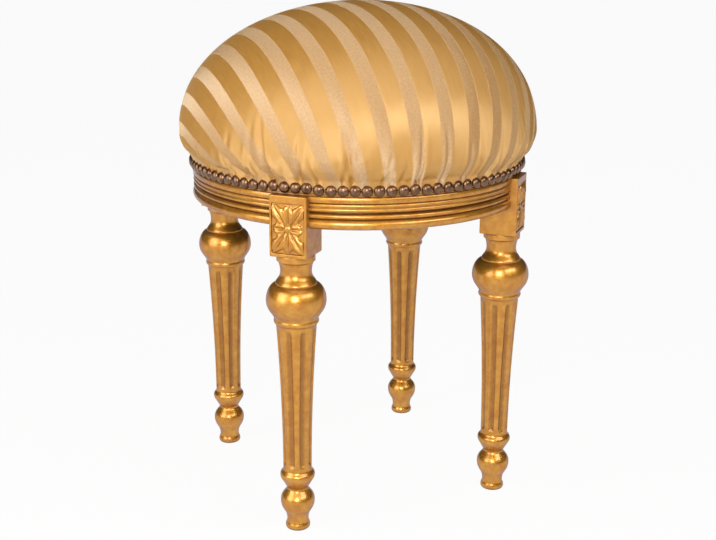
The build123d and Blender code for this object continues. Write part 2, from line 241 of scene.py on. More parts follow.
def spun(name, profile, steps, sweep=2 * math.pi):
    """A skin made by turning a half section, a list of (radius, height), about the Z axis."""
    mesh = bpy.data.meshes.new(name)
    mesh.from_pydata([(r, 0, z) for r, z in profile], [(i, i + 1) for i in range(len(profile) - 1)], [])
    piece = new_piece(name, mesh)
    turning = piece.modifiers.new("turning", "SCREW")
    turning.axis = "Z"
    turning.angle = sweep
    turning.steps = steps
    turning.render_steps = steps
    turning.use_merge_vertices = True
    apply_modifiers(piece)
    edit_all(piece)
    bpy.ops.mesh.remove_doubles(threshold=MERGE_REACH)
    bpy.ops.mesh.normals_make_consistent(inside=False)
    bpy.ops.object.mode_set(mode="OBJECT")
    bpy.ops.object.shade_smooth()
    return piece


def curve_through(stations):
    """Points through (radius, height, way) stations in mm; each way is how the curve runs there."""
    points = []
    for (r0, z0, way0), (r1, z1, way1) in zip(stations, stations[1:]):
        ways = {
            "upright": Vector((0, 0, TURNING_EASE * (z1 - z0))),
            "flat": Vector((TURNING_EASE * (r1 - r0), 0, 0)),
            "free": Vector((r1 - r0, 0, z1 - z0)) / 3,
        }
        low, high = Vector((r0, 0, z0)), Vector((r1, 0, z1))
        points += interpolate_bezier(low, low + ways[way0], high - ways[way1], high, TURNING_POINTS)
    return [(point.x * MM, point.z * MM) for point in points]


def shaft_radius(height):
    """Radius of the shaft's hollow taper, a parabola through its foot, middle and top radii."""
    t = (height - SHAFT_FOOT) / (SHAFT_HEAD - SHAFT_FOOT)
    low, middle, high = SHAFT_RADII
    bow = 2 * (low + high - 2 * middle)
    return low + (high - low - bow) * t + bow * t * t


def turned_post():
    """The turned and fluted part of a leg on its own axis, up to the underside of the block."""
    shaft = [(shaft_radius(z), z) for z in np.linspace(SHAFT_FOOT, SHAFT_HEAD, SHAFT_RINGS)]
    foot = curve_through(FOOT_STATIONS)
    head = curve_through(HEAD_STATIONS)
    post = spun("post", [(0, 0)] + foot + shaft + head + [(0, head[-1][1])], POST_STEPS)
    cutter = (FLUTE_WIDTH ** 2 / 4 + FLUTE_DEPTH ** 2) / (2 * FLUTE_DEPTH)
    low, high = SHAFT_FOOT + FLUTE_END, SHAFT_HEAD - FLUTE_END
    # Each point's depth in a flute, kept for the gilding, which browns the flutes by it with glaze and
    # painted shade.
    glaze_and_shade_depth = np.zeros(len(post.data.vertices))
    for vertex in post.data.vertices:
        radius = vertex.co.xy.length
        if not SHAFT_FOOT < vertex.co.z < SHAFT_HEAD:
            continue
        step = 2 * math.pi / FLUTES
        turn = (math.atan2(vertex.co.y, vertex.co.x) + step / 2) % step - step / 2
        past_end = max(low - vertex.co.z, vertex.co.z - high, 0)
        from_axis = math.hypot(turn * radius, past_end)
        if from_axis < cutter:
            depth = max(math.sqrt(cutter ** 2 - from_axis ** 2) - (cutter - FLUTE_DEPTH), 0)
            glaze_and_shade_depth[vertex.index] = depth / FLUTE_DEPTH
            vertex.co.xy *= 1 - depth / radius
    post.data.attributes.new("glaze_and_shade_depth", "FLOAT", "POINT").data.foreach_set("value", glaze_and_shade_depth)
    brush_gesso(post, FLUTE_COATS)
    return post


def gilded_leg(node, post):
    """One leg: the square block with its gessoed arrises, joined to a copy of the turned post."""
    piece = new_piece(node + "_gilded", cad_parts[node].data.copy())
    edit_all(piece)
    bpy.ops.mesh.remove_doubles(threshold=MERGE_REACH)
    bpy.ops.mesh.bisect(plane_co=(0, 0, BLOCK_FOOT), plane_no=(0, 0, 1), use_fill=True, clear_inner=True)
    bpy.ops.object.mode_set(mode="OBJECT")
    gesso_carving(piece, GESSO_GRAIN, GESSO_COATS)
    low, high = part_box(node)
    turned = new_piece("post", post.data.copy())
    turned.data.transform(Matrix.Translation(((low.x + high.x) / 2, (low.y + high.y) / 2, 0)))
    join([piece, turned])
    paint(piece, gilding)
    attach(piece, "root")
    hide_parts(node)


gilding = gold_leaf()
post = turned_post()
for name in LEGS:
    gilded_leg(name, post)
bpy.data.objects.remove(post)

# Rosettes
# A carved panel of beech in the sunk face of each leg block: eight veined leaves reach from a button to the
# corners and sides. Each is carved apart, glued in and gilded with the block.
ROSETTE_GRAIN = 0.42 * MM
ROSETTE_COATS = 2
CARVING_SIDES = 36
CARVING_RINGS = 18
LEAF_MARGIN = 0.8 * MM
LEAF_WIDTH = 13.5 * MM
LEAF_HEIGHT = 3.9 * MM
PLATE_HEIGHT = 1.3 * MM
BUTTON_RADIUS = 4.6 * MM
BUTTON_HEIGHT = 3.2 * MM
VEIN_DEPTH = 0.55
VEIN_WIDTH = 0.26
LOBES = 3
LOBE_DEPTH = 0.16
TURNS = {"right": 0, "back": 90, "left": 180, "front": 270}

panel_low, panel_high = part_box("rosette_right")
panel_width = panel_high.y - panel_low.y
panel_height = panel_high.z - panel_low.z
panel_middle = (panel_low.z + panel_high.z) / 2


def carved_leaf(across, up):
    """One leaf of the rosette from the middle of the panel towards a corner or a side."""
    tip = Vector((across * (panel_width / 2 - LEAF_MARGIN), up * (panel_height / 2 - LEAF_MARGIN), 0))
    bpy.ops.mesh.primitive_uv_sphere_add(segments=CARVING_SIDES, ring_count=CARVING_RINGS, radius=1.0)
    leaf = bpy.context.object
    for vertex in leaf.data.vertices:
        x, y, z = vertex.co
        along = (x + 1) / 2
        spread = 0.6 + 0.65 * along - 0.35 * along ** 5
        vein = VEIN_DEPTH * math.exp(-(y / VEIN_WIDTH) ** 2) * (1 - 0.6 * along ** 4)
        lobe = 1 + LOBE_DEPTH * math.cos(2 * math.pi * LOBES * along) * abs(y)
        vertex.co = (
            along * tip.length,
            y * spread * lobe * LEAF_WIDTH / 2,
            (max(z, -0.4) * (0.75 + 0.35 * along) - (vein if z > 0 else 0)) * LEAF_HEIGHT,
        )
    leaf.data.transform(Matrix.Rotation(math.atan2(tip.y, tip.x), 4, "Z"))
    return leaf


def carved_rosette():
    """The whole rosette, flat, with its face up, its leaves and button carved into one with the plate."""
    parts = [
        carved_leaf(across, up)
        for across in (-1, 0, 1) for up in (-1, 0, 1) if across or up
    ]
    bpy.ops.mesh.primitive_cube_add(size=1.0)
    plate = bpy.context.object
    plate.data.transform(Matrix.Diagonal((panel_width, panel_height, PLATE_HEIGHT, 1)))
    bpy.ops.mesh.primitive_uv_sphere_add(segments=CARVING_SIDES, ring_count=CARVING_RINGS, radius=1.0)
    button = bpy.context.object
    button.data.transform(Matrix.Diagonal((BUTTON_RADIUS, BUTTON_RADIUS, BUTTON_HEIGHT, 1)))
    join([plate, button] + parts)
    plate.data.transform(Matrix.Translation((0, 0, PLATE_HEIGHT / 2)))
    gesso_carving(plate, ROSETTE_GRAIN, ROSETTE_COATS)
    return plate


rosette = carved_rosette()
upright = Matrix(((0, 0, 1, panel_low.x), (1, 0, 0, 0), (0, 1, 0, panel_middle), (0, 0, 0, 1)))
for side, angle in TURNS.items():
    piece = new_piece(f"rosette_{side}_carved", rosette.data.copy())
    piece.data.transform(Matrix.Rotation(math.radians(angle), 4, "Z") @ upright)
    paint(piece, gilding)
    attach(piece, "root")
    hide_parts(f"rosette_{side}")
bpy.data.objects.remove(rosette)

# Seat rails
# Four curved beech rails between the blocks, moulded with rounds, beads and a hollow darkened by painted
# shade, and gilded like the legs. Their top edge is a plain band that the cover is nailed to.
RAILS = {"rail_front_right": 270, "rail_back_right": 0, "rail_back_left": 90, "rail_front_left": 180}
RAIL_RADIUS = 174 * MM
RAIL_THICKNESS = 26 * MM
BLOCK_HALF_WIDTH = 19 * MM
BLOCK_BACK_RADIUS = 141 * MM
MOULDING_BED = 4.5 * MM
BAND_INSET = 1.0 * MM
NAIL_BAND_SETBACK = 2.5 * MM
NAIL_BAND_HEIGHT = 14.5 * MM
GROOVE = 0.55 * MM
BAND_SOFTENING = 0.6 * MM
SHARP_ARRIS = math.radians(50)
ROUNDS = [(10.0, 4.0, GROOVE), (4.6, 3.2, 0), (2.2, -1.8, 0), (3.6, 3.2, GROOVE), (3.6, 3.2, GROOVE)]
RAIL_STEPS = 120
BLOCK_HOLD = 1.2 * MM

rail_bottom, rail_top = (corner.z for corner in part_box("rail_back_right"))


def bulge(bed, level, height, projection):
    """Points of a round, or of a hollow where the projection is negative, on the moulding's bed."""
    radius = (height ** 2 / 4 + projection ** 2) / (2 * abs(projection))
    centre = bed + projection - math.copysign(radius, projection)
    points = []
    for share in np.linspace(-0.5, 0.5, 11):
        reach = math.sqrt(radius ** 2 - (share * height) ** 2)
        points.append((centre + math.copysign(reach, projection), level + (0.5 + share) * height))
    return points


def rail_section():
    """The rail's outline from the inner bottom corner outwards, up the moulding and back."""
    inner = RAIL_RADIUS - RAIL_THICKNESS
    bed = RAIL_RADIUS - MOULDING_BED
    band = RAIL_RADIUS - BAND_INSET
    nail_band = RAIL_RADIUS - NAIL_BAND_SETBACK
    shoulder = rail_top - NAIL_BAND_HEIGHT
    soft = BAND_SOFTENING
    points = [(inner, rail_bottom)]
    level = rail_bottom
    for height, projection, groove in ROUNDS:
        points += bulge(bed, level, height * MM, projection * MM)
        level += height * MM + groove
    points += [(bed, level), (band - soft, level), (band, level + soft)]
    points += [(band, shoulder - soft), (band - soft, shoulder), (nail_band, shoulder)]
    return points + [(nail_band, rail_top), (inner, rail_top), (inner, rail_bottom)]


def gilded_rail(node, angle):
    """One rail, its moulding swept from block to block, with its ends let into them a little."""
    reach = math.asin((BLOCK_HALF_WIDTH - BLOCK_HOLD) / RAIL_RADIUS)
    piece = spun(node + "_gilded", rail_section(), RAIL_STEPS, sweep=math.pi / 2 - 2 * reach)
    bpy.ops.object.mode_set(mode="EDIT")
    bpy.ops.mesh.select_mode(type="EDGE")
    bpy.ops.mesh.select_all(action="DESELECT")
    bpy.ops.mesh.select_non_manifold()
    bpy.ops.mesh.fill_holes(sides=0)
    bpy.ops.mesh.select_all(action="SELECT")
    bpy.ops.mesh.normals_make_consistent(inside=False)
    bpy.ops.object.mode_set(mode="OBJECT")
    bpy.ops.object.shade_smooth_by_angle(angle=SHARP_ARRIS)
    piece.data.transform(Matrix.Rotation(math.radians(angle) + reach, 4, "Z"))
    paint(piece, gilding)
    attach(piece, "root")
    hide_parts(node)


for name, angle in RAILS.items():
    gilded_rail(name, angle)

# Tenon pegs
# Short turned beech pegs, driven through block and tenon from inside the frame and cut off flush. They are
# left bare, with end grain on show.


def bare_beech():
    """Planed beech: pinkish tan with short dark flecks along the grain, dry and matt."""
    material, tree, shader = start_material("bare_beech")
    place = add_node(tree, "ShaderNodeTexCoord").outputs["Object"]
    grain_wise = add_node(tree, "ShaderNodeMapping", {
        "Vector": place, "Scale": (1 / (8 * MM), 1 / (1.2 * MM), 1 / (1.2 * MM)),
    }).outputs["Vector"]
    fleck = add_node(tree, "ShaderNodeTexNoise", {
        "Vector": grain_wise, "Scale": 1.0, "Detail": 4.0,
    }).outputs["Fac"]
    colour = add_node(tree, "ShaderNodeMix", {
        0: fleck, 6: linear("#A67B52"), 7: linear("#D3AC80"),
    }, data_type="RGBA").outputs[2]
    fibres = add_node(tree, "ShaderNodeBump", {
        "Strength": 0.4, "Distance": 0.1 * MM, "Height": fleck,
    }).outputs["Normal"]
    set_inputs(tree, shader, {"Base Color": colour, "Normal": fibres, "Roughness": 0.62})
    return material


paint(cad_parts["tenon_pegs"], bare_beech())

# Webbing
# Three jute straps each way, interlaced, stretched tight and tacked over the top of the frame. They are a
# plain close weave of thick yarn, which is drawn about twice as coarse as it is, so that it shows.
STRAP_WIDTH = 50 * MM
STRAP_THICKNESS = 1.5 * MM
STRAP_PITCH = 62 * MM
STRAP_SLOPE = 8 * MM
STRAP_RISE = 1.7 * MM
JUTE_YARN = 2.0 * MM

platform_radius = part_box("webbing_side_to_side")[1].x


def jute_webbing():
    """Jute webbing: dull tan yarn with slubs in a close plain weave, darker between the threads."""
    material, tree, shader = start_material("jute_webbing")
    place = add_node(tree, "ShaderNodeTexCoord").outputs["Object"]
    axes = add_node(tree, "ShaderNodeSeparateXYZ", {"Vector": place}).outputs
    threads = []
    for axis in ("X", "Y"):
        count = add_node(tree, "ShaderNodeMath", {
            0: axes[axis], 1: 2 * math.pi / JUTE_YARN,
        }, operation="MULTIPLY").outputs[0]
        threads.append(add_node(tree, "ShaderNodeMath", {0: count}, operation="SINE").outputs[0])
    over = add_node(tree, "ShaderNodeMath", {0: threads[0], 1: threads[1]}, operation="MULTIPLY").outputs[0]
    slub = add_node(tree, "ShaderNodeTexNoise", {
        "Vector": place, "Scale": 1 / (3 * MM), "Detail": 3.0,
    }).outputs["Fac"]
    yarn = add_node(tree, "ShaderNodeMath", {0: over, 1: slub}, operation="MULTIPLY").outputs[0]
    shade = add_node(tree, "ShaderNodeMapRange", {
        "Value": yarn, "From Min": -0.5, "From Max": 0.5,
    }).outputs["Result"]
    colour = add_node(tree, "ShaderNodeMix", {
        0: shade, 6: linear("#8A6C44"), 7: linear("#C2A271"),
    }, data_type="RGBA").outputs[2]
    relief = add_node(tree, "ShaderNodeBump", {
        "Strength": 0.7, "Distance": 0.4 * MM, "Height": over,
    }).outputs["Normal"]
    set_inputs(tree, shader, {"Base Color": colour, "Normal": relief, "Roughness": 0.85})
    return material


def thicken(piece, thickness, side):
    """Gives a cloth its thickness, on its outer side (1) or its inner side (-1)."""
    cloth = piece.modifiers.new("thickness", "SOLIDIFY")
    cloth.thickness = thickness
    cloth.offset = side
    apply_modifiers(piece)


def woven_strap(row, parity):
    """A strap along X that passes over every second strap of the other direction, made from a flat strip."""
    middle = row * STRAP_PITCH
    reach = math.sqrt(platform_radius ** 2 - (abs(middle) + STRAP_WIDTH / 2) ** 2)
    bpy.ops.mesh.primitive_grid_add(x_subdivisions=96, y_subdivisions=6, size=1.0)
    strap = bpy.context.object
    strap.data.transform(Matrix.Diagonal((2 * reach, STRAP_WIDTH, 1, 1)))
    for vertex in strap.data.vertices:
        column = round(vertex.co.x / STRAP_PITCH)
        if abs(column) < 2 and (row + column) % 2 == parity:
            from_middle = abs(vertex.co.x - column * STRAP_PITCH)
            run_out = (STRAP_PITCH / 2 - from_middle) / STRAP_SLOPE
            vertex.co.z = STRAP_RISE * min(max(run_out, 0), 1)
    strap.data.transform(Matrix.Translation((0, middle, rail_top)))
    thicken(strap, STRAP_THICKNESS, 1)
    return strap


def strap_set(name, angle, parity):
    """The three straps of one direction as one piece."""
    piece = join([woven_strap(row, parity) for row in (-1, 0, 1)])
    piece.name = name + "_woven"
    piece.data.transform(Matrix.Rotation(math.radians(angle), 4, "Z"))
    paint(piece, jute)
    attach(piece, "root")
    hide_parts(name)


jute = jute_webbing()
strap_set("webbing_side_to_side", 0, 0)
strap_set("webbing_front_to_back", 90, 1)

# Webbing tacks
# Cut steel tacks, blued by heat, three to each end of a strap, driven through it into the frame.


def blued_steel():
    """Heat-blued steel: nearly black with a cold sheen, scuffed lighter in random patches."""
    material, tree, shader = start_material("blued_steel")
    place = add_node(tree, "ShaderNodeTexCoord").outputs["Object"]
    scuff = add_node(tree, "ShaderNodeTexNoise", {
        "Vector": place, "Scale": 1 / (1.5 * MM), "Detail": 3.0,
    }).outputs["Fac"]
    colour = add_node(tree, "ShaderNodeMix", {
        0: scuff, 6: linear("#1E2127"), 7: linear("#555960"),
    }, data_type="RGBA").outputs[2]
    roughness = add_node(tree, "ShaderNodeMapRange", {
        "Value": scuff, "To Min": 0.3, "To Max": 0.55,
    }).outputs["Result"]
    set_inputs(tree, shader, {"Base Color": colour, "Roughness": roughness, "Metallic": 1.0})
    return material


steel = blued_steel()
paint(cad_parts["webbing_tacks"], steel)

# Platform cloth
# A disc of hessian laid over the webbing to keep the filling from working through. It is an open plain weave
# of coarse jute yarn, drawn a little coarser than it is so that it shows, and dips a little in the middle.
HESSIAN_YARN = 1.6 * MM
HESSIAN_DIP = 0.1 * MM
DISC_SIDES = 96
DISC_CUTS = 12

hessian_low, hessian_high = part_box("hessian")


def hessian_cloth():
    """Hessian: an open square weave of dull brown jute with slubs, dark in the gaps."""
    material, tree, shader = start_material("hessian_cloth")
    place = add_node(tree, "ShaderNodeTexCoord").outputs["Object"]
    slub = add_node(tree, "ShaderNodeTexNoise", {
        "Vector": place, "Scale": 1 / (4 * MM), "Detail": 3.0,
    }).outputs["Fac"]
    yarns = []
    for direction in ("X", "Y"):
        yarns.append(add_node(tree, "ShaderNodeTexWave", {
            "Vector": place, "Scale": 2 * math.pi / 20 / HESSIAN_YARN, "Distortion": 0.6,
            "Detail": 1.0, "Detail Scale": 1.0,
        }, bands_direction=direction).outputs["Fac"])
    weave = add_node(tree, "ShaderNodeMath", {0: yarns[0], 1: yarns[1]}, operation="MAXIMUM").outputs[0]
    shade = add_node(tree, "ShaderNodeMath", {0: weave, 1: slub}, operation="MULTIPLY").outputs[0]
    colour = add_node(tree, "ShaderNodeMix", {
        0: shade, 6: linear("#4E3A20"), 7: linear("#C9A871"),
    }, data_type="RGBA").outputs[2]
    relief = add_node(tree, "ShaderNodeBump", {
        "Strength": 0.6, "Distance": 0.3 * MM, "Height": weave,
    }).outputs["Normal"]
    set_inputs(tree, shader, {"Base Color": colour, "Normal": relief, "Roughness": 0.9})
    return material


def stretched_disc(name, radius, level, thickness, dip):
    """A round cloth with a thickness, stretched at a level and dipping a little in the middle."""
    bpy.ops.mesh.primitive_circle_add(vertices=DISC_SIDES, radius=radius, fill_type="TRIFAN")
    disc = bpy.context.object
    disc.name = name
    edit_all(disc)
    bpy.ops.mesh.subdivide(number_cuts=DISC_CUTS)
    bpy.ops.object.mode_set(mode="OBJECT")
    for vertex in disc.data.vertices:
        vertex.co.z = level - dip * (1 - (vertex.co.xy.length / radius) ** 2)
    thicken(disc, thickness, 1)
    bpy.ops.object.shade_smooth_by_angle()
    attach(disc, "root")
    return disc


platform_cloth = stretched_disc(
    "platform_cloth", hessian_high.x, hessian_low.z + HESSIAN_DIP, hessian_high.z - hessian_low.z, HESSIAN_DIP
)
paint(platform_cloth, hessian_cloth())
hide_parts("hessian")

# Foam pad
# A domed block of upholstery foam, glued up and trimmed by hand, flat where it lies on the platform cloth.
# It gives the seat its high crown and full sides.
PAD_STEPS = 96
DOME_FULLNESS = 0.57
BELLY_FULLNESS = 0.5
SEAT_BELLY_RISE = 26.5 * MM
SEAT_OVERHANG = 13 * MM
COVER_THICKNESS = 1.2 * MM
WADDING_THICKNESS = 6 * MM
GATHER_ROOM = 3.2 * MM
LAYER_GAP = 0.3 * MM
CROWN_STUFFING = 3.0 * MM
CROWN_LEAN = 6.0 * MM
LEAN_TOWARDS = math.radians(21.0)

cover_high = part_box("seat_cover")[1]
foam_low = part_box("seat_foam")[0].z
seat_radius = cover_high.x
seat_crown = cover_high.z + CROWN_STUFFING
belly_level = rail_top + SEAT_BELLY_RISE


def dome_profile(inset, foot_level, lower_steps=12, upper_steps=40):
    """Half section of the seat, (radius, height) from its foot up to its crown, drawn in by an inset."""
    foot = seat_radius - SEAT_OVERHANG - inset
    belly = seat_radius - inset
    crown = seat_crown - inset
    lift = BELLY_FULLNESS * (belly_level - rail_top)
    rise = DOME_FULLNESS * (crown - belly_level)
    lower = interpolate_bezier(
        Vector((foot, 0, rail_top)), Vector(((foot + belly) / 2, 0, rail_top + lift / 2)),
        Vector((belly, 0, belly_level - lift)), Vector((belly, 0, belly_level)), lower_steps,
    )
    upper = interpolate_bezier(
        Vector((belly, 0, belly_level)), Vector((belly, 0, belly_level + rise)),
        Vector((DOME_FULLNESS * belly, 0, crown)), Vector((0, 0, crown)), upper_steps,
    )
    side = [(point.x, point.z) for point in lower + upper[1:]]
    return [(foot, foot_level)] + side if foot_level < rail_top else side


def skin_points(piece):
    """The piece's vertices as an array."""
    return np.array([vertex.co for vertex in piece.data.vertices])


def place_skin(piece, points):
    """Puts the piece's vertices at the points of an array."""
    piece.data.vertices.foreach_set("co", points.ravel())
    piece.data.update()


def lean_crown(points):
    """The points of a layer of the seat, which was stuffed a little to one side, so that its crown leans."""
    share = np.clip((points[:, 2] - rail_top) / (seat_crown - rail_top), 0, 1)
    aside = np.array([math.cos(LEAN_TOWARDS), math.sin(LEAN_TOWARDS), 0])
    return points + CROWN_LEAN * (share ** 2)[:, None] * aside


def upholstery_foam():
    """Polyurethane foam: pale cream, matt, with a yellowed skin and open cells, drawn coarse to show."""
    material, tree, shader = start_material("upholstery_foam")
    place = add_node(tree, "ShaderNodeTexCoord").outputs["Object"]
    cells = add_node(tree, "ShaderNodeTexVoronoi", {
        "Vector": place, "Scale": 1 / (1.2 * MM),
    }).outputs["Distance"]
    yellowing = add_node(tree, "ShaderNodeTexNoise", {
        "Vector": place, "Scale": 1 / (60 * MM),
    }).outputs["Fac"]
    colour = add_node(tree, "ShaderNodeMix", {
        0: yellowing, 6: linear("#EFE3BE"), 7: linear("#DCC893"),
    }, data_type="RGBA").outputs[2]
    relief = add_node(tree, "ShaderNodeBump", {
        "Strength": 0.5, "Distance": 0.4 * MM, "Height": cells,
    }).outputs["Normal"]
    set_inputs(tree, shader, {"Base Color": colour, "Normal": relief, "Roughness": 0.95})
    return material


foam_inset = COVER_THICKNESS + WADDING_THICKNESS + 2 * LAYER_GAP
foam_side = [(r, z) for r, z in dome_profile(foam_inset, rail_top) if z > foam_low]
foam = spun("foam_pad", [(0, foam_low), (foam_side[0][0], foam_low)] + foam_side, PAD_STEPS)
place_skin(foam, lean_crown(skin_points(foam)))
bpy.ops.object.shade_smooth_by_angle()
paint(foam, upholstery_foam())
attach(foam, "root")
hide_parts("seat_foam")

# Wadding
# A layer of cotton wadding over the foam, which softens the cover and stops it sliding. Its edge rests on
# the rim of the frame.


def cotton_wadding():
    """Cotton wadding: off-white, very matt, matted fibres with grey seed specks."""
    material, tree, shader = start_material("cotton_wadding")
    place = add_node(tree, "ShaderNodeTexCoord").outputs["Object"]
    fibres = add_node(tree, "ShaderNodeTexNoise", {
        "Vector": place, "Scale": 1 / (4 * MM), "Detail": 8.0, "Roughness": 0.7, "Distortion": 1.5,
    }).outputs["Fac"]
    specks = add_node(tree, "ShaderNodeMapRange", {
        "Value": fibres, "From Min": 0.3, "From Max": 0.45,
    }).outputs["Result"]
    colour = add_node(tree, "ShaderNodeMix", {
        0: specks, 6: linear("#A9A092"), 7: linear("#EDE8DC"),
    }, data_type="RGBA").outputs[2]
    relief = add_node(tree, "ShaderNodeBump", {
        "Strength": 0.6, "Distance": 0.8 * MM, "Height": fibres,
    }).outputs["Normal"]
    set_inputs(tree, shader, {"Base Color": colour, "Normal": relief, "Roughness": 1.0})
    return material


wadding_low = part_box("seat_wadding")[0].z
outer_inset = COVER_THICKNESS + LAYER_GAP + GATHER_ROOM
wadding_side = dome_profile(outer_inset, rail_top)
wadding = spun("wadding_layer", [(wadding_side[0][0], wadding_low)] + wadding_side[1:], PAD_STEPS)
thicken(wadding, WADDING_THICKNESS - GATHER_ROOM, -1)
place_skin(wadding, lean_crown(skin_points(wadding)))
paint(wadding, cotton_wadding())
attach(wadding, "root")
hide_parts("seat_wadding")

# Seat cover
# A round of striped satin drawn down over the pad and nailed to the band of the frame. The spare cloth at
# its edge is worked into small gathers between the nails, and a few of them run up the sides as creases.
COVER_STEPS = 192
COVER_FOOT = 349.6 * MM
NAIL_COUNT = 96
STRIPE_TURN = math.radians(47.7)
STRIPE_PERIOD = 31.4 * MM
STRIPE_FAN = 0.77
MATT_WIDTH = 13.5 * MM
MATT_START = -226.9 * MM
CREASE_COUNT = 72
CREASE_SEED = 7
CREASE_WIDTHS = (1.5, 2.6)
CREASE_SLANT = 0.25
FLOAT_WIDTH = 1.6 * MM
FLOAT_LENGTH = 24 * MM
SPECKLE = 2.2 * MM
GATHER_HEIGHT = 55 * MM
SPARE_CLOTH = 0.10
CLOTH_PRESSURE = 4.0
CLOTH_FRAMES = 20
CLOTH_CAP = 1.2 * MM


def crease_pattern():
    """Angles, widths, depths, reaches and slants of the creases that run up from the nailed edge."""
    draw = random.Random(CREASE_SEED)
    creases = []
    for k in range(CREASE_COUNT):
        angle = 2 * math.pi * (k + draw.uniform(-0.4, 0.4)) / CREASE_COUNT
        strength = draw.random() ** 1.5
        creases.append((
            angle, draw.uniform(*CREASE_WIDTHS) * MM, (0.8 + 2.4 * strength) * MM,
            (22 + 50 * strength) * MM, draw.uniform(-CREASE_SLANT, CREASE_SLANT),
        ))
    return creases


def creases(angle, climb):
    """How far the cloth stands out or is drawn in, at an angle round the seat and a climb from the edge."""
    rise = np.maximum(climb, 0)
    total = 0.4 * MM * np.cos(NAIL_COUNT * angle) * np.exp(-rise / (7 * MM))
    for place, width, depth, reach, slant in crease_pattern():
        turn = (angle - place + math.pi) % (2 * math.pi) - math.pi
        across = turn * seat_radius - slant * rise
        fade = np.clip(1 - rise / reach, 0, 1)
        groove = np.exp(-(across / width) ** 2)
        ridge = np.exp(-((np.abs(across) - 2.1 * width) / (1.3 * width)) ** 2)
        total = total + depth * fade * (0.55 * ridge - groove)
    return np.clip(total, -3.0 * MM, 2.0 * MM) * np.clip(1 + climb / (8 * MM), 0, 1)


def satin_stripe():
    """Striped satin of one gold silk: warp floats along the bright bands, weft floats across the matt ones.

    Each kind of float shines across its own threads, so the bands change places as the seat turns. The
    threads are far too fine to show, so they are drawn many times coarser.
    """
    material, tree, shader = start_material("striped_satin")
    flat = add_node(tree, "ShaderNodeUVMap", uv_map="cut").outputs["UV"]
    axes = add_node(tree, "ShaderNodeSeparateXYZ", {"Vector": flat}).outputs
    from_start = add_node(tree, "ShaderNodeMath", {
        0: axes["X"], 1: MATT_START + MATT_WIDTH / 2,
    }, operation="SUBTRACT").outputs[0]
    from_middle = add_node(tree, "ShaderNodeMath", {
        0: from_start, 1: STRIPE_PERIOD / 2,
    }, operation="PINGPONG").outputs[0]
    matt = add_node(tree, "ShaderNodeMapRange", {
        "Value": from_middle, "From Min": MATT_WIDTH / 2 + 0.4 * MM, "From Max": MATT_WIDTH / 2 - 0.4 * MM,
    }).outputs["Result"]
    speckle = add_node(tree, "ShaderNodeTexNoise", {
        "Vector": flat, "Scale": 1 / SPECKLE, "Detail": 2.0, "Roughness": 0.7,
    }).outputs["Fac"]
    floats = add_node(tree, "ShaderNodeTexNoise", {
        "Vector": add_node(tree, "ShaderNodeMapping", {
            "Vector": flat, "Scale": (1 / FLOAT_WIDTH, 1 / FLOAT_LENGTH, 1.0),
        }).outputs["Vector"], "Scale": 1.0, "Detail": 3.0,
    }).outputs["Fac"]
    matt_colour = add_node(tree, "ShaderNodeMix", {
        0: add_node(tree, "ShaderNodeMapRange", {
            "Value": speckle, "From Min": 0.3, "From Max": 0.7,
        }).outputs["Result"],
        6: linear("#A07034"), 7: linear("#C08C48"),
    }, data_type="RGBA").outputs[2]
    satin_colour = add_node(tree, "ShaderNodeMix", {
        0: floats, 6: linear("#AC7630"), 7: linear("#CA9446"),
    }, data_type="RGBA").outputs[2]
    colour = add_node(tree, "ShaderNodeMix", {
        0: matt, 6: satin_colour, 7: matt_colour,
    }, data_type="RGBA").outputs[2]
    turned = add_node(tree, "ShaderNodeMath", {0: matt, 1: 0.25}, operation="MULTIPLY").outputs[0]
    relief = add_node(tree, "ShaderNodeMix", {0: matt, 2: floats, 3: speckle}).outputs[0]
    weave = add_node(tree, "ShaderNodeBump", {
        "Strength": 0.2, "Distance": 0.25 * MM, "Height": relief,
    }).outputs["Normal"]
    across = add_node(tree, "ShaderNodeTangent", direction_type="UV_MAP", uv_map="cut").outputs["Tangent"]
    sheen = add_node(tree, "ShaderNodeMix", {
        0: matt, 6: linear("#FFDFAC"), 7: linear("#FFEED2"),
    }, data_type="RGBA").outputs[2]
    lustre = add_node(tree, "ShaderNodeMapRange", {
        "Value": floats, "From Min": 0.3, "From Max": 0.7, "To Min": 0.58, "To Max": 0.74,
    }).outputs["Result"]
    set_inputs(tree, shader, {
        "Base Color": colour, "Roughness": lustre, "Normal": weave, "Tangent": across,
        "Anisotropic": 0.9, "Anisotropic Rotation": turned, "IOR": 2.4, "Specular IOR Level": 1.0,
        "Specular Tint": sheen,
    })
    return material


